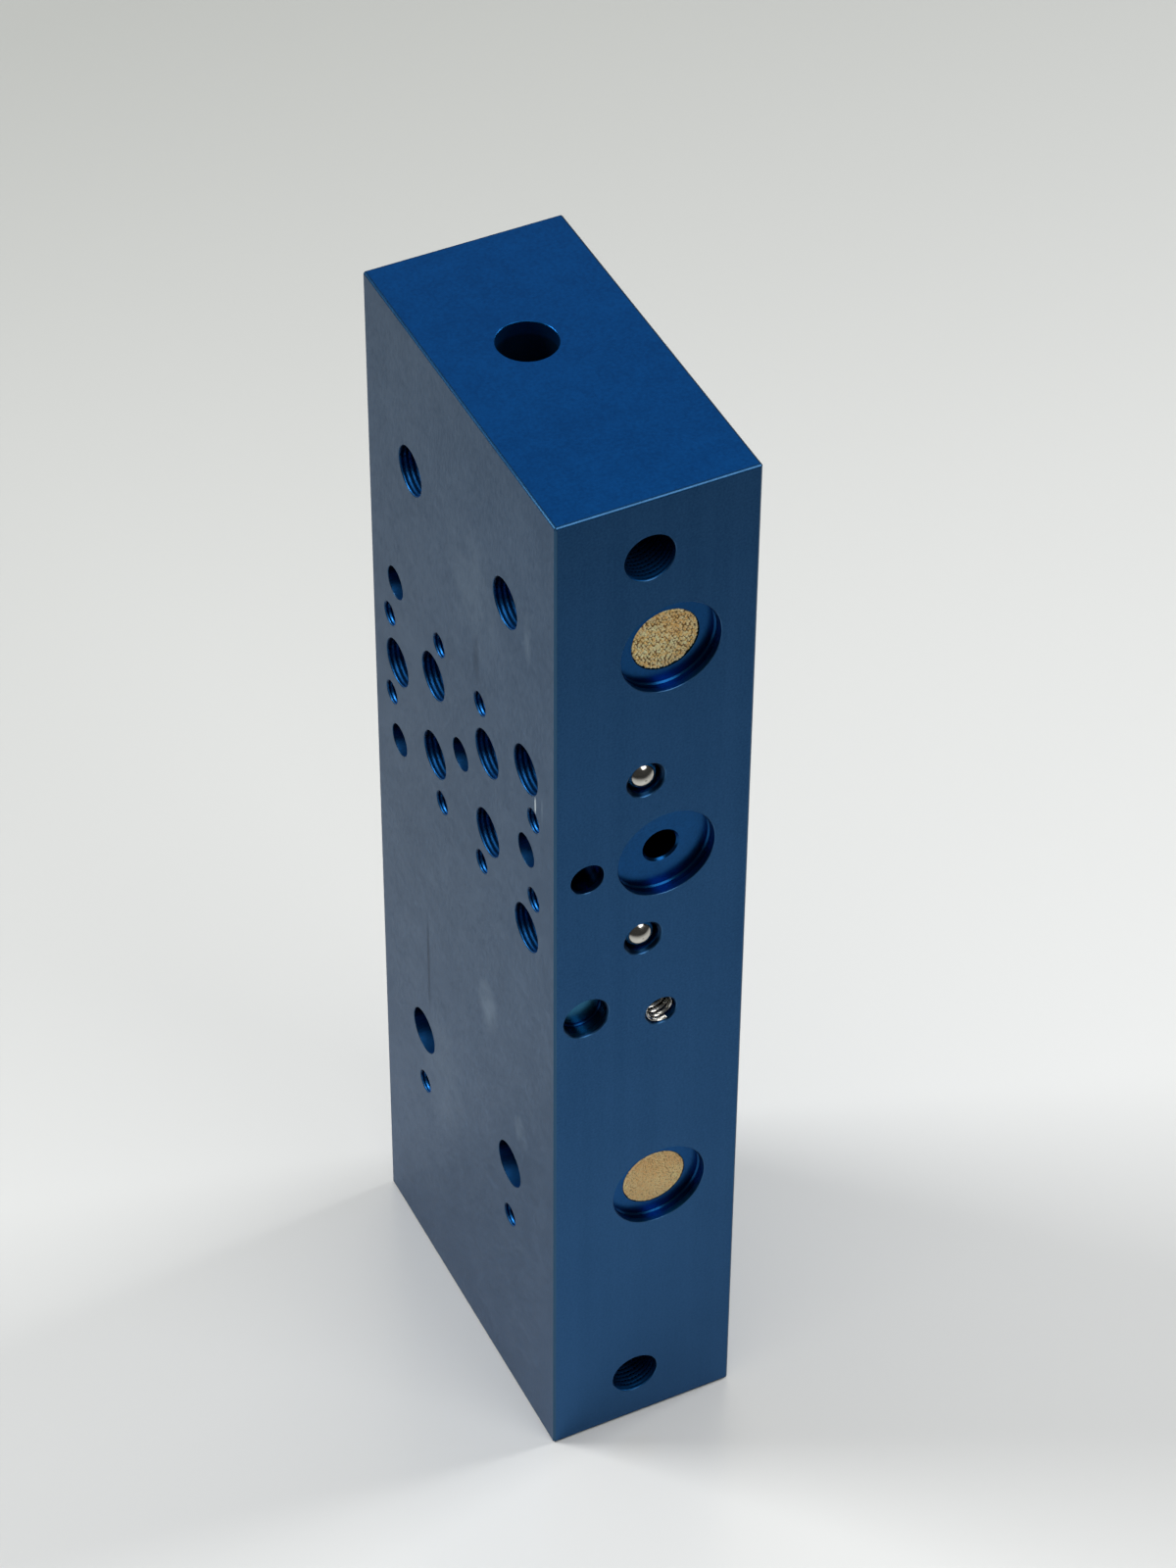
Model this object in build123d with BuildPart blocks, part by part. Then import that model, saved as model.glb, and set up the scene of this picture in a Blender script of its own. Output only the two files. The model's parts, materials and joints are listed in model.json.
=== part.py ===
"""Anodised aluminium manifold block with filter discs, sealing balls and a thread insert.

Millimetres, +Z up. The block stands on one end, and the origin is the middle of that end.
The wide port face looks along -X, the narrow service face looks along -Y, and the end face
with the gallery port looks along +Z.
"""

import os
from math import radians, sqrt, tan

from build123d import *

# --- Block ---
block_thickness = 40.0  # along X
block_width = 80.0  # along Y
block_length = 245.0  # along Z
edge_break = 0.35  # flat on every outer edge
mouth_break = 0.1  # flat on the mouth of every hole that has no size of its own
drill_point_angle = 118.0
passage_overrun = 1.0  # full bore past the axis of the bore that it meets

# --- Threaded ports, cut to the major diameter of M10 x 1 ---
port_thread_diameter = 10.0
port_thread_depth = 12.0
port_core_diameter = 8.9  # tap drill that runs on behind the thread
port_core_depth = 18.0  # from the face, before the drill point

# --- Port field on the port face: five rows about a centre line ---
port_line_offset = 0.6  # the field's centre line, from the middle of the face
port_field_drop = 86.35  # middle row, below the end face
port_row_pitch = 10.1
inner_port_spread = 11.85  # each port from the centre line
outer_port_spread = 28.6
inner_screw_spread = 8.95
outer_screw_spread = 31.7
pilot_diameter = 6.8
pilot_shortfall = 1.25  # full bore of the middle row, short of the drilling's axis
end_port_spread = 20.3  # the pairs above and below the field
upper_port_drop = 32.65  # below the end face
lower_port_height = 64.7  # above the bottom
plain_port_diameter = 10.0  # the lower pair has no thread
plain_port_depth = 22.0
upper_port_depth = 22.0  # tap drill of the upper pair, which reaches the filter passage

# --- Screw holes, cut to the major diameter of M5 ---
screw_diameter = 5.0
screw_depth = 9.0
lower_screw_drop = 15.1  # below the lower pair of ports

# --- Gallery from the end face ---
gallery_diameter = 11.7
gallery_depth = 112.0
gallery_x = -2.0
gallery_y = 8.6

# --- Service face: mounting threads near both ends ---
mount_thread_x = -1.6
upper_mount_drop = 13.3
lower_mount_height = 12.6
mount_thread_depth = 15.0
mount_core_depth = 20.0

# --- Service face: round pockets with a port or a filter disc in the floor ---
pocket_x = 2.9
pocket_diameter = 20.0
pocket_depth = 2.4
pocket_corner = 0.3  # left by the cutter round each floor
upper_pocket_drop = 35.7
lower_pocket_height = 67.9
pocket_port_break = 0.4  # round the port in the middle pocket

filter_disc_diameter = 13.3
filter_disc_thickness = 3.0
filter_disc_edge = 0.25
filter_seat_clearance = 0.12  # all round the disc
filter_passage_diameter = 8.0

# --- Service face: cross drillings closed by pressed balls ---
ball_x = -1.6
ball_diameter = 6.8
ball_fit_clearance = 0.02  # each side
ball_inset = 0.0  # its nearest point, below the face
ball_mouth_break = 0.65
cross_drill_diameter = 5.5

# --- Service face: pilot drilling of the middle row ---
pilot_drill_x = -13.25

# --- Service face: shallow seat for a locating sleeve ---
sleeve_seat_x = -13.25
sleeve_seat_drop = 122.9
sleeve_seat_diameter = 9.0
sleeve_seat_depth = 3.3
sleeve_seat_break = 0.4
sleeve_seat_corner = 0.25  # left by the cutter round the floor

# --- Service face: wire thread insert ---
insert_x = 2.5
insert_drop = 127.7
insert_bore_diameter = 6.4
insert_bore_depth = 12.0
insert_mouth_break = 0.25
insert_pitch = 1.27
insert_turns = 4.5
insert_inset = 0.95  # middle of the first turn, below the face
insert_wire_height = 0.75  # across the section, along the radius
insert_wire_gap = 0.05  # between neighbouring turns
insert_fit_clearance = 0.02

# --- Places worked out from the sizes above ---
port_face = Plane(origin=(-block_thickness / 2, 0, 0), x_dir=(0, -1, 0), z_dir=(-1, 0, 0))
service_face = Plane(origin=(0, -block_width / 2, 0), x_dir=(1, 0, 0), z_dir=(0, -1, 0))
end_face = Plane(origin=(0, 0, block_length), x_dir=(1, 0, 0), z_dir=(0, 0, 1))
pocket_floor = service_face.offset(-pocket_depth)

field_x = -port_line_offset  # on the port face, x runs towards the service face
field_z = block_length - port_field_drop
row_1 = field_z + 2 * port_row_pitch
row_5 = field_z - 2 * port_row_pitch
far_port_reach = block_width / 2 + port_line_offset + outer_port_spread + passage_overrun

upper_port_z = block_length - upper_port_drop
lower_screw_z = lower_port_height - lower_screw_drop
upper_pocket_z = block_length - upper_pocket_drop
filter_seat_depth = pocket_depth + filter_disc_thickness
filter_heights = {"upper_filter_disc": upper_pocket_z, "lower_filter_disc": lower_pocket_height}
near_port_reach = block_width / 2 + port_line_offset - end_port_spread + passage_overrun
ball_heights = {"upper_sealing_ball": row_1, "lower_sealing_ball": row_5}
ball_bore_radius = ball_diameter / 2 + ball_fit_clearance
ball_centre_depth = ball_diameter / 2 + ball_inset
# The ball rests on the rim of the narrower drilling behind it.
ball_seat_depth = ball_centre_depth + sqrt(ball_bore_radius**2 - (cross_drill_diameter / 2) ** 2)
cross_drill_reach = block_thickness / 2 + ball_x + passage_overrun
pilot_drill_inset = block_thickness / 2 + pilot_drill_x
gallery_reach = block_width / 2 + gallery_y + passage_overrun
insert_z = block_length - insert_drop


def drill(diameter, depth):
    """Blind hole that ends in the cone of a drill point."""
    radius = diameter / 2
    Hole(radius, depth)
    with Locations((0, 0, -depth)):
        Cone(
            bottom_radius=0,
            top_radius=radius,
            height=radius / tan(radians(drill_point_angle / 2)),
            align=(Align.CENTER, Align.CENTER, Align.MAX),
            mode=Mode.SUBTRACT,
        )


def tap(thread_depth, core_depth):
    """Threaded port: the thread's bore, and the tap drill that runs on behind it."""
    drill(port_core_diameter, core_depth)
    Hole(port_thread_diameter / 2, thread_depth)


def countersink(diameter, width):
    """45 degree flat round the mouth of a hole."""
    Cone(
        bottom_radius=diameter / 2,
        top_radius=diameter / 2 + width,
        height=width,
        align=(Align.CENTER, Align.CENTER, Align.MAX),
        mode=Mode.SUBTRACT,
    )


# --- Block: the outside, then the holes in each face ---
with BuildPart() as manifold_block:
    with BuildSketch(Plane.XY):
        Rectangle(block_thickness, block_width)
    extrude(amount=block_length)
    chamfer(manifold_block.edges(), length=edge_break)

    with Locations(port_face):
        with Locations((field_x, field_z)):
            # Threaded ports: four inside, and three on the outer lines.
            with GridLocations(2 * inner_port_spread, 2 * port_row_pitch, 2, 2):
                tap(port_thread_depth, port_core_depth)
            with Locations(
                (outer_port_spread, 2 * port_row_pitch),
                (outer_port_spread, -2 * port_row_pitch),
                (-outer_port_spread, 0),
            ):
                tap(port_thread_depth, port_core_depth)
            # Pilots: into the long drilling in the middle row, and into the cross drillings.
            with Locations((0, 0), (outer_port_spread, 0)):
                drill(pilot_diameter, pilot_drill_inset - pilot_shortfall)
            with Locations(
                (-outer_port_spread, 2 * port_row_pitch),
                (-outer_port_spread, -2 * port_row_pitch),
            ):
                drill(pilot_diameter, cross_drill_reach)
            # Screw holes for what bolts on.
            with GridLocations(2 * inner_screw_spread, 4 * port_row_pitch, 2, 2):
                drill(screw_diameter, screw_depth)
            with GridLocations(2 * outer_screw_spread, 2 * port_row_pitch, 2, 2):
                drill(screw_diameter, screw_depth)
        with Locations((field_x, upper_port_z)):
            with GridLocations(2 * end_port_spread, 0, 2, 1):
                tap(port_thread_depth, upper_port_depth)
        with Locations((field_x, lower_port_height)):
            with GridLocations(2 * end_port_spread, 0, 2, 1):
                drill(plain_port_diameter, plain_port_depth)
        with Locations((field_x, lower_screw_z)):
            with GridLocations(2 * end_port_spread, 0, 2, 1):
                drill(screw_diameter, screw_depth)
    port_mouths = manifold_block.faces().sort_by(Axis.X)[0].edges().filter_by(GeomType.CIRCLE)
    chamfer(port_mouths, length=mouth_break)

    with Locations(end_face):
        with Locations((gallery_x, gallery_y)):
            countersink(gallery_diameter, mouth_break)
            drill(gallery_diameter, gallery_depth)

    with Locations(service_face):
        with Locations(
            (mount_thread_x, block_length - upper_mount_drop),
            (mount_thread_x, lower_mount_height),
        ):
            countersink(port_thread_diameter, mouth_break)
            tap(mount_thread_depth, mount_core_depth)
        with Locations((pilot_drill_x, field_z)):
            countersink(pilot_diameter, mouth_break)
            drill(pilot_diameter, far_port_reach)
        with Locations((sleeve_seat_x, block_length - sleeve_seat_drop)):
            countersink(sleeve_seat_diameter, sleeve_seat_break)
            Hole(sleeve_seat_diameter / 2, sleeve_seat_depth)
    sleeve_rims = manifold_block.edges(Select.LAST).filter_by(GeomType.CIRCLE)
    chamfer(sleeve_rims.sort_by(Axis.Y)[-1], length=sleeve_seat_corner)

    with Locations(service_face):
        with Locations((insert_x, insert_z)):
            countersink(insert_bore_diameter, insert_mouth_break)
            drill(insert_bore_diameter, insert_bore_depth)
        # Cross drillings, each with the wider bore that holds its ball.
        with Locations((ball_x, row_1), (ball_x, row_5)):
            drill(cross_drill_diameter, far_port_reach)
            countersink(2 * ball_bore_radius, ball_mouth_break)
            Hole(ball_bore_radius, ball_seat_depth)
        # Pockets, with the corner that the cutter leaves round each floor.
        with Locations(
            (pocket_x, upper_pocket_z),
            (pocket_x, field_z),
            (pocket_x, lower_pocket_height),
        ):
            countersink(pocket_diameter, mouth_break)
            Hole(pocket_diameter / 2, pocket_depth)
    pocket_rims = manifold_block.edges(Select.LAST).filter_by(GeomType.CIRCLE)
    chamfer(pocket_rims.group_by(Axis.Y)[-1], length=pocket_corner)

    with Locations(pocket_floor):
        with Locations((pocket_x, field_z)):
            countersink(pilot_diameter, pocket_port_break)
            drill(pilot_diameter, gallery_reach - pocket_depth)
        with Locations((pocket_x, upper_pocket_z), (pocket_x, lower_pocket_height)):
            drill(filter_passage_diameter, near_port_reach - pocket_depth)
            Hole(filter_disc_diameter / 2 + filter_seat_clearance, filter_disc_thickness)
manifold_block.part.label = "manifold_block"

os.makedirs("parts", exist_ok=True)
export_step(manifold_block.part, "parts/manifold_block.step")


# --- Sintered filter discs, flush with the pocket floors ---
for name, height in filter_heights.items():
    with BuildPart() as filter_disc:
        with BuildSketch(service_face.offset(-filter_seat_depth)):
            with Locations((pocket_x, height)):
                Circle(filter_disc_diameter / 2)
        extrude(amount=filter_disc_thickness)
        chamfer(filter_disc.faces().sort_by(Axis.Y)[0].edges(), length=filter_disc_edge)
    filter_disc.part.label = name
    export_step(filter_disc.part, f"parts/{name}.step")


# --- Sealing balls, pressed into the cross drillings ---
for name, height in ball_heights.items():
    with BuildPart() as sealing_ball:
        with Locations(service_face.offset(-ball_centre_depth)):
            with Locations((ball_x, height)):
                Sphere(ball_diameter / 2)
    sealing_ball.part.label = name
    export_step(sealing_ball.part, f"parts/{name}.step")


# --- Wire thread insert: a coil of diamond-section wire ---
coil_outer_radius = insert_bore_diameter / 2 - insert_fit_clearance
coil_mean_radius = coil_outer_radius - insert_wire_height / 2
coil_start = (insert_x, -block_width / 2 + insert_inset, insert_z)
wire_width = insert_pitch - insert_wire_gap
with BuildPart() as thread_insert:
    with BuildLine():
        coil = Helix(
            pitch=insert_pitch,
            height=insert_pitch * insert_turns,
            radius=coil_mean_radius,
            center=coil_start,
            direction=(0, 1, 0),
        )
    coil_section = Plane(origin=coil @ 0, x_dir=(coil @ 0) - Vector(*coil_start), z_dir=coil % 0)
    with BuildSketch(coil_section):
        Polygon(
            (-insert_wire_height / 2, 0),
            (0, -wire_width / 2),
            (insert_wire_height / 2, 0),
            (0, wire_width / 2),
        )
    sweep(is_frenet=True)
thread_insert.part.label = "thread_insert"
export_step(thread_insert.part, "parts/thread_insert.step")
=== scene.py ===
"""Looks of the hydraulic manifold block: its oxide, threads, sintered discs, balls and wire insert.

Materials measure in millimetres of the row frame. Everything that is placed is in metres.
"""

import json
import math
import random
from types import SimpleNamespace

import bpy
from mathutils import Matrix, Vector


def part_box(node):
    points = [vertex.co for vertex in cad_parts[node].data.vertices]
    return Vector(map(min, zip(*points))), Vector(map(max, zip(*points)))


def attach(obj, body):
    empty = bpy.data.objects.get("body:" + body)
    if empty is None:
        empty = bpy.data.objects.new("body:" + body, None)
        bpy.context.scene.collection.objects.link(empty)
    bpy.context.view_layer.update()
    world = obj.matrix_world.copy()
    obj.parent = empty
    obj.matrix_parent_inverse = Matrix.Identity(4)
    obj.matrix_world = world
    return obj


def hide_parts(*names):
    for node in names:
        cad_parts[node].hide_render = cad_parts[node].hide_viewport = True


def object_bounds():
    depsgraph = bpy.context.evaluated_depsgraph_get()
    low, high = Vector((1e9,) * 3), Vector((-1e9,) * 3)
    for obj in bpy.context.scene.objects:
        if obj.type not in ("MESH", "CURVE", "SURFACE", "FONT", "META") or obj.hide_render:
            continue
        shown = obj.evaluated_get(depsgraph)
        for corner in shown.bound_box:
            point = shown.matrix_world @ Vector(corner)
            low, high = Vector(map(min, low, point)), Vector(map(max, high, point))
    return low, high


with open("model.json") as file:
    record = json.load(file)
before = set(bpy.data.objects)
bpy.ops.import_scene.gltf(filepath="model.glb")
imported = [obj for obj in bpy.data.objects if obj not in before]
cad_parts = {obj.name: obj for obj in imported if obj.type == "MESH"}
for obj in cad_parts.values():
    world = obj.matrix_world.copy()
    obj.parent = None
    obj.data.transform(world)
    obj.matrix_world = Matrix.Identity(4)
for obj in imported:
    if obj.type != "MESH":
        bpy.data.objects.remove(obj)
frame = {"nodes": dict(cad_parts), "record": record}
cad_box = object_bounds()
scene = bpy.context.scene
mounts = {mount["name"]: mount for mount in frame["record"]["mounts"]}
MM = 0.001
X, Y, Z = range(3)


# ---------------------------------------------------------------- node helpers

def new_material(name):
    """A material with nothing in it but its output and a Principled shader."""
    material = bpy.data.materials.new(name)
    material.use_nodes = True
    nodes = material.node_tree.nodes
    nodes.clear()
    output = nodes.new("ShaderNodeOutputMaterial")
    shader = nodes.new("ShaderNodeBsdfPrincipled")
    material.node_tree.links.new(shader.outputs[0], output.inputs["Surface"])
    return material, Graph(material.node_tree), shader


class Graph:
    """Short names for the nodes that the materials share."""

    def __init__(self, tree):
        self.tree = tree

    def link(self, source, target):
        self.tree.links.new(source, target)

    def feed(self, socket, value):
        if isinstance(value, bpy.types.NodeSocket):
            self.link(value, socket)
        else:
            socket.default_value = value

    def place(self):
        """The point on the surface, in millimetres of the row frame."""
        coordinates = self.tree.nodes.new("ShaderNodeTexCoord")
        scale = self.tree.nodes.new("ShaderNodeVectorMath")
        scale.operation = "SCALE"
        scale.inputs["Scale"].default_value = 1 / MM
        self.link(coordinates.outputs["Object"], scale.inputs[0])
        return scale.outputs[0]

    def axes(self, vector):
        parts = self.tree.nodes.new("ShaderNodeSeparateXYZ")
        self.link(vector, parts.inputs[0])
        return parts.outputs["X"], parts.outputs["Y"], parts.outputs["Z"]

    def normal(self):
        """The three parts of the surface's own direction."""
        geometry = self.tree.nodes.new("ShaderNodeNewGeometry")
        return self.axes(geometry.outputs["True Normal"])

    def along(self, axis, low, high):
        """0 to 1 as the surface turns to face along an axis, either way."""
        return self.span(self.math("ABSOLUTE", self.normal()[axis]), low, high)

    def upward(self, low, high):
        """0 to 1 as the surface turns from facing down to facing up."""
        return self.span(self.normal()[Z], low, high)

    def depths(self, place):
        """Depth inside the block's box along each axis, and the least and the middle of the three."""
        low, high = cad_box
        each = []
        for axis, along in enumerate(self.axes(place)):
            middle = (low[axis] + high[axis]) / 2 / MM
            half = (high[axis] - low[axis]) / 2 / MM
            offset = self.math("ABSOLUTE", self.math("SUBTRACT", along, middle))
            each.append(self.math("SUBTRACT", half, offset))
        lesser = self.math("MINIMUM", each[X], each[Y])
        greater = self.math("MAXIMUM", each[X], each[Y])
        nearest = self.math("MINIMUM", lesser, each[Z])
        second = self.math("MAXIMUM", lesser, self.math("MINIMUM", greater, each[Z]))
        return each, nearest, second

    def facing(self, each, nearest):
        """1 where the surface lies along the nearest side, and 0 where it is square to it."""
        facing = 0.0
        for depth, along in zip(each, self.normal()):
            chosen = self.span(self.math("SUBTRACT", depth, nearest), 0.02, 0.0)
            aligned = self.product(chosen, self.math("ABSOLUTE", along))
            facing = self.math("MAXIMUM", facing, aligned)
        return facing

    def spot(self, place, centre, radii, soft):
        """An oval patch round a centre: 1 inside it, and 0 past its soft edge."""
        total = 0.0
        for along, middle, radius in zip(self.axes(place), centre, radii):
            part = self.math("DIVIDE", self.math("SUBTRACT", along, middle), radius)
            total = self.math("ADD", total, self.product(part, part))
        return self.span(total, 1.0 + soft, 1.0 - soft)

    def layers(self, *weighted):
        total = 0.0
        for layer, weight in weighted:
            total = self.math("ADD", total, self.product(layer, weight))
        return total

    def product(self, first, *others):
        for other in others:
            first = self.math("MULTIPLY", first, other)
        return first

    def math(self, operation, a, b=0.0, clamp=False):
        node = self.tree.nodes.new("ShaderNodeMath")
        node.operation = operation
        node.use_clamp = clamp
        self.feed(node.inputs[0], a)
        self.feed(node.inputs[1], b)
        return node.outputs[0]

    def span(self, value, low, high, to_low=0.0, to_high=1.0):
        """value from low..high to to_low..to_high, held at the ends."""
        node = self.tree.nodes.new("ShaderNodeMapRange")
        self.link(value, node.inputs["Value"])
        node.inputs["From Min"].default_value = low
        node.inputs["From Max"].default_value = high
        node.inputs["To Min"].default_value = to_low
        node.inputs["To Max"].default_value = to_high
        return node.outputs["Result"]

    def mix_value(self, factor, a, b):
        node = self.tree.nodes.new("ShaderNodeMix")
        self.feed(node.inputs["Factor"], factor)
        self.feed(node.inputs["A"], a)
        self.feed(node.inputs["B"], b)
        return node.outputs["Result"]

    def blend(self, factor, a, b):
        """A colour between a and b."""
        node = self.tree.nodes.new("ShaderNodeMix")
        node.data_type = "RGBA"
        self.feed(node.inputs["Factor"], factor)
        self.feed(node.inputs["A"], a)
        self.feed(node.inputs["B"], b)
        return node.outputs["Result"]

    def stretch(self, vector, factors):
        node = self.tree.nodes.new("ShaderNodeVectorMath")
        node.operation = "MULTIPLY"
        self.link(vector, node.inputs[0])
        node.inputs[1].default_value = factors
        return node.outputs[0]

    def noise(self, vector, scale, detail=2.0):
        node = self.tree.nodes.new("ShaderNodeTexNoise")
        node.inputs["Scale"].default_value = scale
        node.inputs["Detail"].default_value = detail
        self.link(vector, node.inputs["Vector"])
        return node.outputs["Fac"]

    def bump(self, height, strength, distance):
        node = self.tree.nodes.new("ShaderNodeBump")
        node.inputs["Strength"].default_value = strength
        node.inputs["Distance"].default_value = distance
        self.link(height, node.inputs["Height"])
        return node.outputs["Normal"]


# ---------------------------------------------------------------- the oxide's tones, and painted light and shade
# Linear colours. Where there are two, the oxide's own unevenness runs between them, except for the
# port walls' two, which run from painted shade where a wall faces down to painted light where it faces
# up. Other painted light and shade is noted where it stands.

SERVICE_FACE = (0.010, 0.053, 0.138, 1), (0.018, 0.076, 0.188, 1)
# Paler tones towards the foot: painted light, a painted reflection of the nearer floor.
SERVICE_FOOT_LIGHT = (0.024, 0.092, 0.225, 1)
PORT_FACE = (0.013, 0.058, 0.132, 1), (0.022, 0.080, 0.172, 1)
PORT_FOOT_LIGHT = (0.028, 0.095, 0.220, 1)
END_FACE = (0.001, 0.040, 0.155, 1), (0.002, 0.058, 0.215, 1)
RUBBED = (0.11, 0.19, 0.29, 1)
STAINED = (0.004, 0.025, 0.060, 1)
SCRATCHED = (0.52, 0.60, 0.66, 1)

# Edge breaks: darker round the top edges, painted shade, and paler on the upright edges, painted
# highlight.
END_CORNER = (0.004, 0.030, 0.080, 1)
UPRIGHT_CORNER = (0.030, 0.085, 0.160, 1)
# Pale lines down the middle of the top edges' breaks: painted highlights.
SERVICE_EDGE_HIGHLIGHT = (0.042, 0.12, 0.24, 1)
PORT_EDGE_HIGHLIGHT = (0.038, 0.12, 0.23, 1)

# Lips of holes; the service face's are paler, a painted highlight.
SERVICE_LIP_HIGHLIGHT = (0.035, 0.11, 0.23, 1)
PORT_LIP = (0.020, 0.070, 0.150, 1)
END_LIP = (0.004, 0.060, 0.190, 1)
# Deeper chamfers round holes, such as the ball seats' countersinks: painted shade, darker than the
# face.
COUNTERSINK_SHADE = (0.003, 0.020, 0.055, 1)

POCKET_FLOOR = (0.003, 0.044, 0.140, 1), (0.005, 0.058, 0.182, 1)
POCKET_WALL = (0.006, 0.098, 0.315, 1)
# Port walls: painted shade where they face down, painted light where they face up.
PORT_WALL_SHADE_TO_LIGHT = (0.001, 0.012, 0.042, 1), (0.026, 0.200, 0.600, 1)
# Walls deeper than about 3 mm: painted shade, near-black in the drillings and less dark in the
# gallery.
DEEP_BORE_SHADE = (0.001, 0.020, 0.080, 1)
GALLERY_SHADE = (0.008, 0.060, 0.150, 1)
SEAT_WALL = (0.022, 0.115, 0.210, 1)
SEAT_FLOOR = (0.014, 0.062, 0.125, 1)

# Handling marks on the port face, as (y, z, half width, half height, strength).
RUBS = (
    (-10.5, 101.0, 3.6, 5.5, 0.55),
    (-25.0, 79.0, 2.5, 3.5, 0.35),
    (-6.0, 205.0, 9.0, 12.0, 0.22),
    (-29.0, 211.0, 1.3, 5.0, 0.30),
    (12.0, 60.0, 8.0, 14.0, 0.22),
    (-34.8, 173.7, 0.35, 3.0, 0.8),
)
SCRATCH = (-32.0, 173.4, 0.32, 1.9)
STREAK = (17.8, 87.0, 0.6, 11.0)
SMEAR = (-7.0, 189.0, 1.2, 5.0)
MARK_DEPTH = 0.6

SEAT = mounts["locating_seat"]
SEAT_CENTRE = tuple(value / MM for value in SEAT["pos_m"])
SEAT_REACH = SEAT["dims"]["r_mm"] + 0.4
SEAT_DEPTH = 3.0


# ---------------------------------------------------------------- materials

def handling_marks(g, place, blotch):
    """Where the port face is rubbed, where it is scratched, and where it is stained."""
    port_side = cad_box[0].x / MM

    def mark(y, z, across, up, soft):
        return g.spot(place, (port_side, y, z), (MARK_DEPTH, across, up), soft)

    patchy = g.span(blotch, 0.35, 0.6, 0.4, 1.0)
    rubbed = 0.0
    for *oval, strength in RUBS:
        rubbed = g.math("MAXIMUM", rubbed, g.product(mark(*oval, 0.8), patchy, strength))
    scratched = mark(*SCRATCH, 0.5)
    stained = g.math("MAXIMUM", mark(*STREAK, 0.9), g.product(mark(*SMEAR, 0.9), 0.6))
    return rubbed, scratched, stained


def block_surfaces(g, place):
    """Masks that tell the block's surfaces apart, by depth below its sides and by the way they face.

    The block's edges are broken by 0.35 mm and its holes by 0.1 mm, its pockets are 2.4 mm deep, and
    drillings run on behind them. Each mask is soft, and is 1 on the surface that it is named for.
    """
    each, nearest, second = g.depths(place)
    port_depth, service_depth, end_depth = each
    facing = g.facing(each, nearest)
    slanted = g.span(g.math("ABSOLUTE", g.math("SUBTRACT", facing, 0.707)), 0.16, 0.10)
    off_corner = g.span(second, 0.5, 0.7)
    wall = g.span(facing, 0.5, 0.2)
    corner = g.span(second, 0.55, 0.45)
    middle_of_break = g.span(g.math("SUBTRACT", second, nearest), 0.22, 0.08)
    from_port_side = g.span(g.math("SUBTRACT", service_depth, port_depth), 0.0, 1.0)
    half_way_in = g.math("MINIMUM", port_depth, service_depth)
    return SimpleNamespace(
        end_face=g.along(Z, 0.6, 0.8),
        port_side=g.along(X, 0.8, 0.9),
        service_side=g.along(Y, 0.8, 0.9),
        corner=corner,
        upright=g.span(end_depth, 0.5, 0.7),
        port_edge=g.span(port_depth, 0.45, 0.35),
        edge_line=g.product(corner, middle_of_break, g.span(end_depth, 0.6, 0.5)),
        lip=g.product(slanted, g.span(nearest, 0.16, 0.12), off_corner),
        end_lip=g.span(end_depth, 0.5, 0.3),
        countersink=g.product(slanted, g.span(nearest, 0.16, 0.25), off_corner),
        in_port=g.product(from_port_side, g.span(port_depth, 8.0, 6.0)),
        in_gallery=g.product(g.span(end_depth, 60.0, 50.0), g.span(half_way_in, 8.0, 10.0)),
        in_hole=g.product(wall, g.span(nearest, 0.05, 0.15)),
        pocket_floor=g.span(nearest, 0.9, 1.2),
        bored=g.span(nearest, 2.6, 3.2),
        seat=g.spot(place, SEAT_CENTRE, (SEAT_REACH, SEAT_DEPTH, SEAT_REACH), 0.05),
    )


def side_colour(g, place, at, tone, rubbed, scratched, stained):
    """The block's outside, with its marks, and paler towards the foot: painted light, a painted
    reflection of the floor near the block.
    """
    # painted light: the lower 110 mm blend towards a paler colour, a painted reflection of the nearer
    # floor
    foot = g.span(g.axes(place)[Z], 110.0, 0.0, 0.0, 0.4)
    service = g.blend(foot, g.blend(tone, *SERVICE_FACE), SERVICE_FOOT_LIGHT)
    port = g.blend(rubbed, g.blend(tone, *PORT_FACE), RUBBED)
    port = g.blend(g.product(stained, 0.7), port, STAINED)
    port = g.blend(scratched, port, SCRATCHED)
    port = g.blend(foot, port, PORT_FOOT_LIGHT)
    sides = g.blend(at.port_side, service, port)
    return g.blend(at.end_face, sides, g.blend(tone, *END_FACE))


def edge_colour(g, place, at, outside):
    """Broken edges and corners, where the oxide is thin. Along the top edges a pale line down the
    middle of the break is a painted highlight, narrower than the lamp's own, and the break round it is
    painted darker; the upright edges are painted paler, a painted highlight. On the port edge the
    painted highlight is strongest at the front.
    """
    outside = g.blend(at.corner, outside, g.blend(at.upright, END_CORNER, UPRIGHT_CORNER))
    # painted highlight: a pale line down the middle of the top edges' breaks, on the port edge
    # strongest at its front
    port_line_strength = g.span(g.axes(place)[Y], -38.0, -22.0, 1.0, 0.25)
    line = g.product(at.edge_line, g.mix_value(at.port_edge, 1.0, port_line_strength))
    return g.blend(line, outside, g.blend(at.port_edge, SERVICE_EDGE_HIGHLIGHT, PORT_EDGE_HIGHLIGHT))


def mouth_colour(g, at, outside):
    """Lips and countersinks round the holes. The service face's lips are paler, a painted highlight
    round their rims, and the countersinks are darker, painted shade.
    """
    # painted shade: the countersinks are darkened
    outside = g.blend(at.countersink, outside, COUNTERSINK_SHADE)
    # painted highlight: the service face's hole lips are paler
    lip = g.blend(at.in_port, SERVICE_LIP_HIGHLIGHT, PORT_LIP)
    return g.blend(at.lip, outside, g.blend(at.end_lip, lip, END_LIP))


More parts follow.
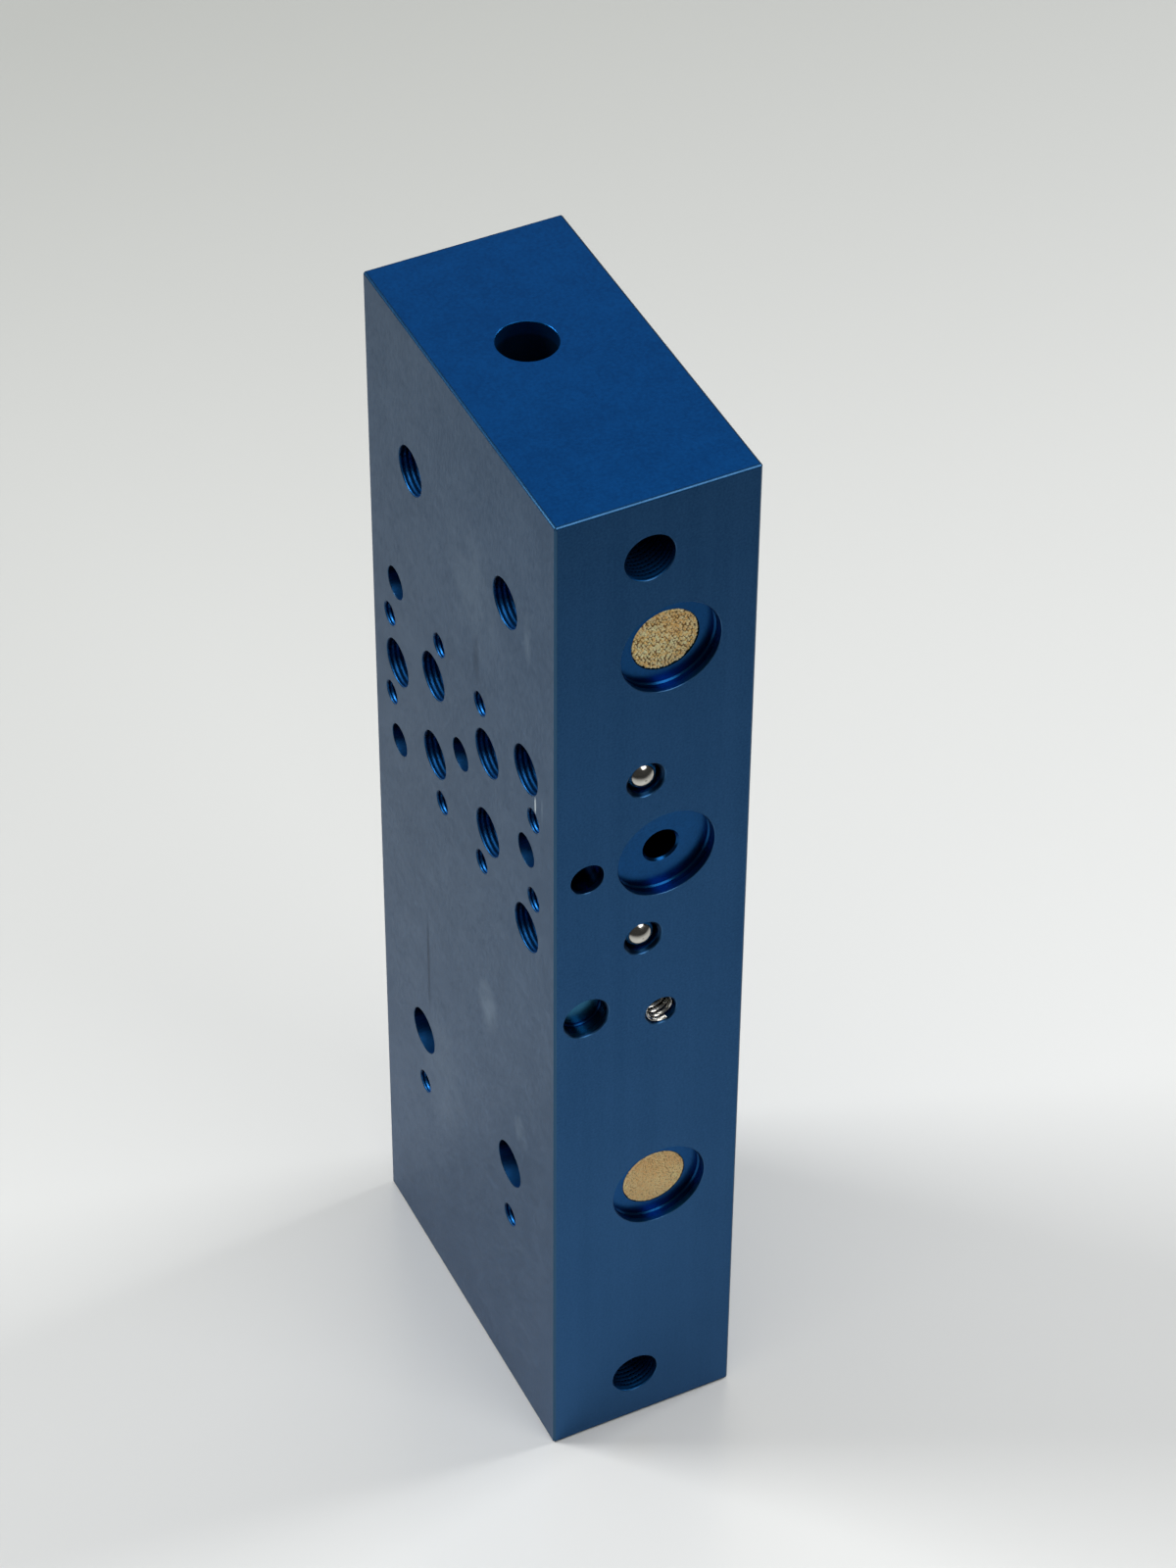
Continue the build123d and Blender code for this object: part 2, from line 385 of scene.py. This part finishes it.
def hole_colour(g, at, tone, outside):
    """Pocket floors and the walls of holes. Walls deeper than about 3 mm are painted darker, painted
    shade, less so in the gallery, and the port walls carry painted light and shade.
    """
    surface = g.blend(at.pocket_floor, outside, g.blend(tone, *POCKET_FLOOR))
    surface = g.blend(g.product(at.seat, at.pocket_floor), surface, SEAT_FLOOR)
    # painted shade: walls deeper than about 3 mm are darkened
    wall = g.blend(at.bored, POCKET_WALL, g.blend(at.in_gallery, DEEP_BORE_SHADE, GALLERY_SHADE))
    wall = g.blend(at.seat, wall, SEAT_WALL)
    # painted light and shade: port walls facing up are lighter, those facing down darker
    wall = g.blend(at.in_port, wall, g.blend(g.upward(0.0, 0.9), *PORT_WALL_SHADE_TO_LIGHT))
    return g.blend(g.math("MAXIMUM", at.in_hole, at.bored), surface, wall)


def anodised_blue():
    """Dyed oxide on machined aluminium: satin outside, thin at the edges, rougher where drilled. Its
    colour also holds painted light and shade: highlights on the edge breaks and on the service face's
    hole lips, shade in the countersinks and deep drillings, light and shade on the port walls, and a
    paler foot.
    """
    material, g, shader = new_material("anodised_blue")
    place = g.place()
    at = block_surfaces(g, place)
    mottle = g.noise(place, 0.06, detail=3.0)
    blotch = g.noise(place, 0.22, detail=3.0)
    grain = g.noise(place, 2.2)
    fibre = g.noise(g.stretch(place, (1.5, 1.5, 0.5)), 1.0, detail=3.0)
    band = g.noise(g.stretch(place, (1.0, 1.0, 0.03)), 0.25, detail=3.0)
    strokes = g.layers((mottle, 0.14), (blotch, 0.20), (fibre, 0.42), (grain, 0.24))
    bands = g.layers((mottle, 0.15), (band, 0.22), (fibre, 0.18), (grain, 0.45))
    tone = g.span(g.mix_value(at.service_side, strokes, bands), 0.40, 0.60)

    rubbed, scratched, stained = handling_marks(g, place, blotch)
    outside = side_colour(g, place, at, tone, rubbed, scratched, stained)
    outside = mouth_colour(g, at, edge_colour(g, place, at, outside))
    g.link(hole_colour(g, at, tone, outside), shader.inputs["Base Color"])
    shader.inputs["Metallic"].default_value = 1.0
    shader.inputs["Specular Tint"].default_value = (0.7, 0.7, 0.7, 1)

    satin = g.mix_value(at.pocket_floor, g.span(tone, 0.0, 1.0, 0.31, 0.38), 0.27)
    drilled = g.product(at.in_hole, g.math("MAXIMUM", at.in_port, at.in_gallery))
    g.link(g.mix_value(drilled, satin, 0.42), shader.inputs["Roughness"])

    sheen = g.math("SUBTRACT", g.math("ADD", tone, rubbed), stained)
    sheen = g.math("ADD", sheen, g.span(g.axes(place)[Y], -40.0, 20.0, -0.22, 0.0), clamp=True)
    port_coat = g.span(sheen, 0.0, 1.0, 0.08, 0.30)
    other_coat = g.span(at.end_face, 0.0, 1.0, 0.05, 0.0)
    g.link(g.mix_value(at.port_side, other_coat, port_coat), shader.inputs["Coat Weight"])
    shader.inputs["Coat Roughness"].default_value = 0.25
    g.link(g.bump(g.math("ADD", grain, fibre), 0.12, 0.03 * MM), shader.inputs["Normal"])
    return material


def threaded_blue(name, dark, light, roughness):
    """The same oxide on cut threads, with painted light and shade: flanks that face up are painted
    lighter and flanks that face down darker, broken by a random grain.
    """
    material, g, shader = new_material(name)
    grain = g.span(g.noise(g.place(), 3.0), 0.35, 0.65, -0.25, 0.25)
    # painted light and shade: upward-facing flanks lighter, downward-facing ones darker
    lower = g.math("ADD", g.upward(-0.10, 0.75), grain, clamp=True)
    g.link(g.blend(lower, dark, light), shader.inputs["Base Color"])
    shader.inputs["Metallic"].default_value = 1.0
    shader.inputs["Roughness"].default_value = roughness
    return material


def sintered_bronze(name, light, dark, face, grain):
    """Bright grain crowns, each its own tint, over gaps that go brown and dull with depth."""
    material, g, shader = new_material(name)
    place = g.place()
    tint = g.span(g.noise(place, 1.1 / grain, detail=1.0), 0.36, 0.64)
    patch = g.span(g.noise(place, 0.18), 0.40, 0.62)
    crown = g.blend(g.product(patch, 0.35), g.blend(tint, dark, light), WARM_BRONZE)
    sunk = g.span(g.math("SUBTRACT", g.axes(place)[Y], face), grain * 0.30, grain * 0.50)
    g.link(g.blend(sunk, crown, BRONZE_GAP), shader.inputs["Base Color"])
    g.link(g.span(sunk, 0.0, 1.0, 0.7, 0.4), shader.inputs["Metallic"])
    shader.inputs["Roughness"].default_value = 0.34
    return material


def bare_metal(name, scale, detail, dark, light, smooth, rough):
    """Undyed metal with a faint haze."""
    material, g, shader = new_material(name)
    haze = g.noise(g.place(), scale, detail=detail)
    g.link(g.blend(haze, dark, light), shader.inputs["Base Color"])
    shader.inputs["Metallic"].default_value = 1.0
    g.link(g.span(haze, 0.3, 0.7, smooth, rough), shader.inputs["Roughness"])
    return material


# ---------------------------------------------------------------- mesh helpers

AROUND = 96  # steps in one turn, for threads and the insert's coil


def add_piece(name, vertices, faces, material):
    """A closed mesh from points in metres, on the one body."""
    mesh = bpy.data.meshes.new(name)
    mesh.from_pydata([tuple(v) for v in vertices], [], faces)
    mesh.validate()
    mesh.polygons.foreach_set("use_smooth", [True] * len(mesh.polygons))
    mesh.materials.append(material)
    piece = bpy.data.objects.new(name, mesh)
    scene.collection.objects.link(piece)
    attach(piece, "root")
    return piece


def bridge(first, second, count):
    """Four-sided faces between two rings of points, given by where each ring starts."""
    nexts = [(j, (j + 1) % count) for j in range(count)]
    return [(first + j, first + k, second + k, second + j) for j, k in nexts]


def face_axes(outward):
    """Inward direction and two directions across it, for a hole whose mount axis is outward."""
    inward = -Vector(outward)
    across = Vector((0, 0, 1)).cross(inward) if abs(inward.z) < 0.5 else Vector((1, 0, 0))
    across.normalize()
    return inward, across, inward.cross(across)


def pattern_points(mount):
    """Centres of the holes of a bolt pattern, or of a single hole, in metres."""
    dims = mount["dims"]
    axis = [abs(v) for v in mount["axis"]].index(1)
    first, second = [i for i in range(3) if i != axis]
    points = [Vector(mount["pos_m"])]
    for index, key in ((first, "spacing_x_mm"), (second, "spacing_y_mm")):
        if key in dims:
            step = Vector((0, 0, 0))
            step[index] = dims[key] * MM / 2
            points = [p + s * step for p in points for s in (-1, 1)]
    return points


STEPS_PER_TURN = 8
THREAD_START = 0.1 * MM  # the block's own mouth break comes first
THREAD_PHASE = 0.45
ROOT_SHARE = 0.97  # the roots stop short of the bore, so that the sleeve has a wall
CONE_SHARE = 0.998


def thread_sleeve(mouth, outward, major, minor, pitch, depth):
    """Points and faces of a closed sleeve whose inside is a right-hand thread with a coned mouth."""
    inward, across, up = face_axes(outward)
    length = depth - THREAD_START
    steps = int(round(length / pitch * STEPS_PER_TURN))

    def point(along, angle, radius):
        return mouth + inward * along + (across * math.cos(angle) + up * math.sin(angle)) * radius

    vertices, faces = [], []
    for i in range(steps + 1):
        along = THREAD_START + length * i / steps
        cone = major * CONE_SHARE - (along - THREAD_START)
        for j in range(AROUND):
            turn = (along / pitch - j / AROUND - THREAD_PHASE) % 1.0
            crest = 0.5 + 0.5 * math.cos(2 * math.pi * turn)
            radius = minor + (major - minor) * (1 - crest) * ROOT_SHARE
            radius = max(radius, cone) if cone > minor else radius
            vertices.append(point(along, 2 * math.pi * j / AROUND, radius))
    for along in (depth, THREAD_START):
        vertices += [point(along, 2 * math.pi * j / AROUND, major) for j in range(AROUND)]
    rings = steps + 3
    for i in range(rings):
        faces += bridge(i * AROUND, (i + 1) % rings * AROUND, AROUND)
    return vertices, faces


def threads(name, mount_name, minor, pitch, depth, material):
    """The thread forms of one mount's holes, as one piece."""
    mount = mounts[mount_name]
    radius = mount["dims"].get("hole_r_mm", mount["dims"].get("r_mm")) * MM
    vertices, faces = [], []
    for mouth in pattern_points(mount):
        more, rings = thread_sleeve(mouth, mount["axis"], radius, minor, pitch, depth)
        base = len(vertices)
        vertices += more
        faces += [tuple(base + v for v in face) for face in rings]
    return add_piece(name, vertices, faces, material)


def wire_section(height, width, rounding):
    """Outline of diamond wire as (along the radius, along the bore), with its four corners eased."""
    corners = [(-height / 2, 0.0), (0.0, -width / 2), (height / 2, 0.0), (0.0, width / 2)]
    outline = []
    for i, corner in enumerate(corners):
        before, after = corners[i - 1], corners[(i + 1) % 4]
        near = [c + (b - c) * rounding for c, b in zip(corner, before)]
        far = [c + (a - c) * rounding for c, a in zip(corner, after)]
        middle = [c * 0.6 + (n + f) * 0.2 for c, n, f in zip(corner, near, far)]
        outline += [near, middle, far]
    return outline


def insert_coil(name, node, pitch, width, height, lead, start_angle, material):
    """The insert's wire. Its first turn starts nearer the mouth than the node does, by lead."""
    low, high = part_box(node)
    centre = (low + high) / 2
    radius = (high.x - low.x) / 2 - height / 2
    first, last = low.y - lead + width / 2, high.y - width / 2
    turns = (last - first) / pitch
    steps = int(turns * AROUND)
    section = wire_section(height, width, WIRE_ROUNDING)
    count = len(section)
    vertices, faces = [], []
    for i in range(steps + 1):
        turn = turns * i / steps
        angle = start_angle - 2 * math.pi * turn
        for out, along in section:
            reach = radius + out
            vertices.append(Vector((centre.x + reach * math.cos(angle), first + pitch * turn + along,
                                    centre.z + reach * math.sin(angle))))
    for i in range(steps):
        faces += bridge(i * count, (i + 1) * count, count)
    faces.append(tuple(range(count - 1, -1, -1)))
    faces.append(tuple(range(steps * count, (steps + 1) * count)))
    piece = add_piece(name, vertices, faces, material)
    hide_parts(node)
    return piece


BEAD_SIDES, BEAD_ROWS = 8, 5
FLATNESS = 0.55  # of a grain's thickness to its width
DISC_SIDES = 96
DISC_SHARE = 0.985  # the backing stays clear of the outermost grains' rim
GRAIN_SPACING = 0.93  # of the grain's width
ROW_SPACING = 0.866  # of the spacing, as in a close packing
JITTER = 0.22


def bead(centre, radius, inward, across, up):
    """A small pressed grain, pointed at its front and back."""
    vertices = [centre - inward * radius * FLATNESS]
    for i in range(1, BEAD_ROWS):
        polar = math.pi * i / BEAD_ROWS
        for j in range(BEAD_SIDES):
            angle = 2 * math.pi * (j + 0.5 * (i % 2)) / BEAD_SIDES
            flat = (across * math.cos(angle) + up * math.sin(angle)) * math.sin(polar)
            vertices.append(centre + (flat - inward * math.cos(polar) * FLATNESS) * radius)
    vertices.append(centre + inward * radius * FLATNESS)
    last = len(vertices) - 1
    faces = [(0, 1 + (j + 1) % BEAD_SIDES, 1 + j) for j in range(BEAD_SIDES)]
    for i in range(BEAD_ROWS - 2):
        faces += bridge(1 + i * BEAD_SIDES, 1 + (i + 1) * BEAD_SIDES, BEAD_SIDES)
    back = 1 + (BEAD_ROWS - 2) * BEAD_SIDES
    faces += [(back + j, back + (j + 1) % BEAD_SIDES, last) for j in range(BEAD_SIDES)]
    return vertices, faces


def filter_disc(name, node, grain, relief, material, seed):
    """A sintered disc: a backing disc, and grains packed over its face up to the flush plane."""
    rng = random.Random(seed)
    low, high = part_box(node)
    centre = (low + high) / 2
    radius = (high.x - low.x) / 2
    face = low.y
    inward, across, up = Vector((0, 1, 0)), Vector((1, 0, 0)), Vector((0, 0, 1))
    backing = radius * DISC_SHARE
    vertices = []
    for depth in (face + grain * 0.50, high.y):
        for j in range(DISC_SIDES):
            angle = 2 * math.pi * j / DISC_SIDES
            vertices.append(Vector((centre.x + backing * math.cos(angle), depth,
                                    centre.z + backing * math.sin(angle))))
    faces = [tuple(range(DISC_SIDES)), tuple(range(2 * DISC_SIDES - 1, DISC_SIDES - 1, -1))]
    for j in range(DISC_SIDES):
        k = (j + 1) % DISC_SIDES
        faces.append((j, DISC_SIDES + j, DISC_SIDES + k, k))
    spacing = grain * GRAIN_SPACING
    rows = int(radius / (spacing * ROW_SPACING)) + 1
    for row in range(-rows, rows + 1):
        shift = 0.5 * (row % 2)
        for column in range(-rows - 1, rows + 2):
            x = (column + shift + rng.uniform(-JITTER, JITTER)) * spacing
            z = (row * ROW_SPACING + rng.uniform(-JITTER, JITTER)) * spacing
            size = grain / 2 * rng.uniform(0.78, 1.18)
            reach, limit = math.hypot(x, z), radius - size * 0.85
            if reach > limit + spacing / 2:
                continue
            if reach > limit:
                x, z = x * limit / reach, z * limit / reach
            sink = size * FLATNESS + rng.uniform(0.0, relief)
            middle = Vector((centre.x + x, face + sink, centre.z + z))
            more, rings = bead(middle, size, inward, across, up)
            base = len(vertices)
            vertices += more
            faces += [tuple(base + v for v in ring) for ring in rings]
    piece = add_piece(name, vertices, faces, material)
    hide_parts(node)
    return piece


# ---------------------------------------------------------------- the object

WARM_BRONZE = (0.85, 0.42, 0.12, 1)
BRONZE_GAP = (0.38, 0.21, 0.07, 1)
COARSE_GRAIN, FINE_GRAIN = 0.66, 0.36
WIRE_ROUNDING = 0.14

block_oxide = anodised_blue()
steel = bare_metal(
    "polished_steel", 0.9, 3.0, (0.50, 0.48, 0.44, 1), (0.58, 0.56, 0.51, 1), 0.13, 0.20
)
wire = bare_metal(
    "stainless_wire", 1.4, 2.0, (0.56, 0.55, 0.51, 1), (0.80, 0.78, 0.72, 1), 0.16, 0.26
)
for node, material in (
    ("manifold_block", block_oxide),
    ("upper_sealing_ball", steel),
    ("lower_sealing_ball", steel),
):
    cad = frame["nodes"][node]
    cad.data.materials.clear()
    cad.data.materials.append(material)

# Each form is crest radius, pitch, depth and material. The ridges are lower than a standard thread's,
# for the soft bands that the photograph shows.
service_threads = threaded_blue(
    "service_threads", (0.001, 0.012, 0.048, 1), (0.008, 0.110, 0.340, 1), 0.55
)
port_threads = threaded_blue(
    "port_threads", (0.001, 0.012, 0.042, 1), (0.016, 0.145, 0.440, 1), 0.44
)
port_form = 4.90 * MM, 1.0 * MM, 9.0 * MM, port_threads
mounting_form = 4.93 * MM, 1.0 * MM, 9.0 * MM, service_threads
screw_form = 2.30 * MM, 0.8 * MM, 7.0 * MM, port_threads
for name, mount_name, form in (
    ("inner_port_threads", "port_field_inner", port_form),
    ("outer_port_threads", "port_field_outer", port_form),
    ("single_port_thread", "port_field_single", port_form),
    ("upper_port_threads", "upper_ports", port_form),
    ("mounting_hole_threads", "mounting_threads", mounting_form),
    ("inner_screw_threads", "field_screws_inner", screw_form),
    ("outer_screw_threads", "field_screws_outer", screw_form),
    ("lower_screw_threads", "lower_screws", screw_form),
):
    threads(name, mount_name, *form)

insert_coil("insert_wire_turns", "thread_insert", pitch=1.27 * MM, width=1.08 * MM, height=0.72 * MM,
            lead=0.30 * MM, start_angle=math.radians(-62), material=wire)

filter_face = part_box("upper_filter_disc")[0].y / MM
coarse_bronze = sintered_bronze(
    "coarse_bronze", (1.00, 0.94, 0.58, 1), (1.00, 0.70, 0.27, 1), filter_face, COARSE_GRAIN
)
fine_bronze = sintered_bronze(
    "fine_bronze", (1.00, 0.87, 0.48, 1), (0.98, 0.68, 0.31, 1), filter_face, FINE_GRAIN
)
for name, node, grain, relief, material, seed in (
    ("upper_filter_grains", "upper_filter_disc", COARSE_GRAIN, 0.19, coarse_bronze, 3),
    ("lower_filter_grains", "lower_filter_disc", FINE_GRAIN, 0.02, fine_bronze, 4),
):
    filter_disc(name, node, grain * MM, relief * MM, material, seed)


# ---------------------------------------------------------------- stage

FLOOR_REACH = 6.0
FLOOR_GAP = 0.05 * MM


def floor_material():
    """Pale gloss table top, painted darker towards the back, painted shade. In reflections its far
    front is painted near-black, a painted dark reflection of the room past the table's edge.
    """
    material, g, shader = new_material("floor")
    place = g.place()
    back_and_forth = g.axes(place)[Y]
    cloud = g.noise(place, 0.004)
    pale = g.blend(cloud, (0.695, 0.70, 0.69, 1), (0.72, 0.725, 0.715, 1))
    # painted shade: the floor darkens towards the back
    pale = g.blend(g.span(back_and_forth, 0.0, 480.0), pale, (0.47, 0.478, 0.455, 1))
    path = g.tree.nodes.new("ShaderNodeLightPath")
    # painted dark reflection: for glossy rays the far front of the floor is near-black
    painted_dark_reflection = g.product(g.span(back_and_forth, -160.0, -520.0), path.outputs["Is Glossy Ray"])
    g.link(g.blend(painted_dark_reflection, pale, (0.06, 0.06, 0.06, 1)), shader.inputs["Base Color"])
    shader.inputs["Roughness"].default_value = 0.22
    shader.inputs["Specular IOR Level"].default_value = 0.45
    return material


def make_floor():
    height = cad_box[0].z - FLOOR_GAP
    mesh = bpy.data.meshes.new("floor")
    corners = [(-1, -1), (1, -1), (1, 1), (-1, 1)]
    points = [(x * FLOOR_REACH, y * FLOOR_REACH, height) for x, y in corners]
    mesh.from_pydata(points, [], [(0, 1, 2, 3)])
    mesh.materials.append(floor_material())
    floor = bpy.data.objects.new("floor", mesh)
    scene.collection.objects.link(floor)


def make_world():
    """Room: dark near the horizon, pale overhead and behind."""
    world = bpy.data.worlds.new("room")
    scene.world = world
    world.use_nodes = True
    g = Graph(world.node_tree)
    nodes = world.node_tree.nodes
    nodes.clear()
    output = nodes.new("ShaderNodeOutputWorld")
    background = nodes.new("ShaderNodeBackground")
    g.link(background.outputs[0], output.inputs["Surface"])
    coordinates = nodes.new("ShaderNodeTexCoord")
    toward = g.axes(coordinates.outputs["Generated"])
    height = g.math("ADD", toward[Z], g.product(toward[Y], 0.7))
    lit = g.span(height, 0.1, 0.9)
    g.link(g.blend(lit, (0.055, 0.055, 0.055, 1), (0.37, 0.38, 0.385, 1)), background.inputs["Color"])
    background.inputs["Strength"].default_value = 1.0


def area_light(name, place, aim, size, power):
    data = bpy.data.lights.new(name, "AREA")
    data.shape = "RECTANGLE"
    data.size, data.size_y = size
    data.energy = power
    light = bpy.data.objects.new(name, data)
    light.location = place
    light.rotation_mode = "QUATERNION"
    light.rotation_quaternion = (Vector(aim) - Vector(place)).to_track_quat("-Z", "Y")
    scene.collection.objects.link(light)


def make_camera():
    """The photograph's viewpoint: 1.0 m off, looking down at 43 degrees."""
    data = bpy.data.cameras.new("camera")
    data.sensor_width = 36.0
    data.lens = 110.34
    data.clip_start = 0.01
    data.clip_end = 50.0
    camera = bpy.data.objects.new("camera", data)
    right = Vector((0.89866, -0.43861, 0.00558))
    down = Vector((-0.29729, -0.61837, -0.72748))
    forward = Vector((0.32253, 0.65210, -0.68610))
    turn = Matrix((right, -down, -forward)).transposed()
    camera.matrix_world = Matrix.Translation((-0.29104, -0.60149, 0.77356)) @ turn.to_4x4()
    scene.collection.objects.link(camera)
    scene.camera = camera


make_floor()
make_world()
for lamp in (
    # name, place, aim, size, power
    ("overhead", (-0.15, -0.2, 0.85), (-0.05, -0.15, 0), (0.45, 0.45), 1.3),
    ("behind", (0.45, 0.9, 1.15), (0, 0, 0.24), (0.9, 0.9), 1.7),
    ("front", (0.45, -1.0, 1.15), (0, -0.04, 0.2), (0.75, 0.55), 4.4),
    ("right", (1.3, -0.05, 1.1), (0, 0, 0.1), (0.45, 0.45), 13.0),
    ("left", (-0.95, 0.65, 1.15), (0, 0, 0.1), (0.50, 0.50), 14.5),
):
    area_light(*lamp)
make_camera()
scene.view_settings.view_transform = "Standard"
